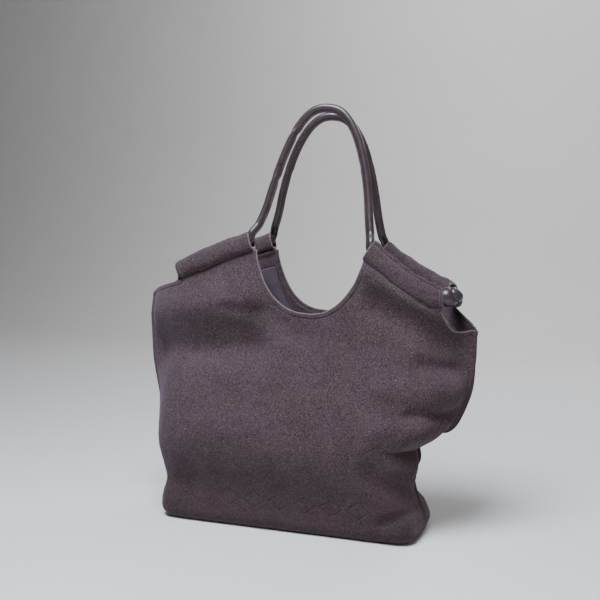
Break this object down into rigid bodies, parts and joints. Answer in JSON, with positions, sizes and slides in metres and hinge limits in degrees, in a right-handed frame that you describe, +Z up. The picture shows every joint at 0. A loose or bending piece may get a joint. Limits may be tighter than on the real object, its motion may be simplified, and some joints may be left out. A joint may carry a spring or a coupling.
{
  "type": "knitting bag",
  "caption": "Open wool-felt knitting tote with scooped neckline and rolled leather handles that run through sewn casings to knotted ends.",
  "frame": {"origin": "middle of the bag's box on the surface it stands on", "axes": "+Z up, -Y towards the front panel, +X towards the bag's right as seen from the front"},
  "size_m": [0.5482, 0.154, 0.6544],
  "materials": {
    "wool_felt": "dark aubergine melange wool felt with a soft nap",
    "facing": "the same wool, thinner",
    "lining": "dark aubergine cotton twill lining",
    "board": "stiff fibre board",
    "leather": "smooth dark brown leather with a satin surface",
    "cord": "firm twisted cotton piping cord"
  },
  "bodies": {
    "bag": {"front_panel": "wool_felt", "back_panel": "wool_felt", "front_facing": "facing", "back_facing": "facing", "front_lining": "lining", "back_lining": "lining", "base_board": "board", "front_left_casing": "wool_felt", "front_right_casing": "wool_felt", "back_left_casing": "wool_felt", "back_right_casing": "wool_felt", "front_left_handle_end": "leather", "front_right_handle_end": "leather", "back_left_handle_end": "leather", "back_right_handle_end": "leather", "front_left_knot": "leather", "front_right_knot": "leather", "back_left_knot": "leather", "back_right_knot": "leather"},
    "front_handle": {"front_handle_leather": "leather", "front_handle_cord": "cord"},
    "back_handle": {"back_handle_leather": "leather", "back_handle_cord": "cord"}
  },
  "joints": [
    {"name": "front_handle_swing", "type": "hinge", "parent": "bag", "child": "front_handle", "pos_m": [0.02769, -0.0435, 0.43819], "axis": [0.9962, 0, -0.0872], "range_deg": [-2.5, 100]},
    {"name": "back_handle_swing", "type": "hinge", "parent": "bag", "child": "back_handle", "pos_m": [0.02769, 0.0435, 0.43819], "axis": [-0.9962, 0, 0.0872], "range_deg": [-2.5, 100]}
  ]
}
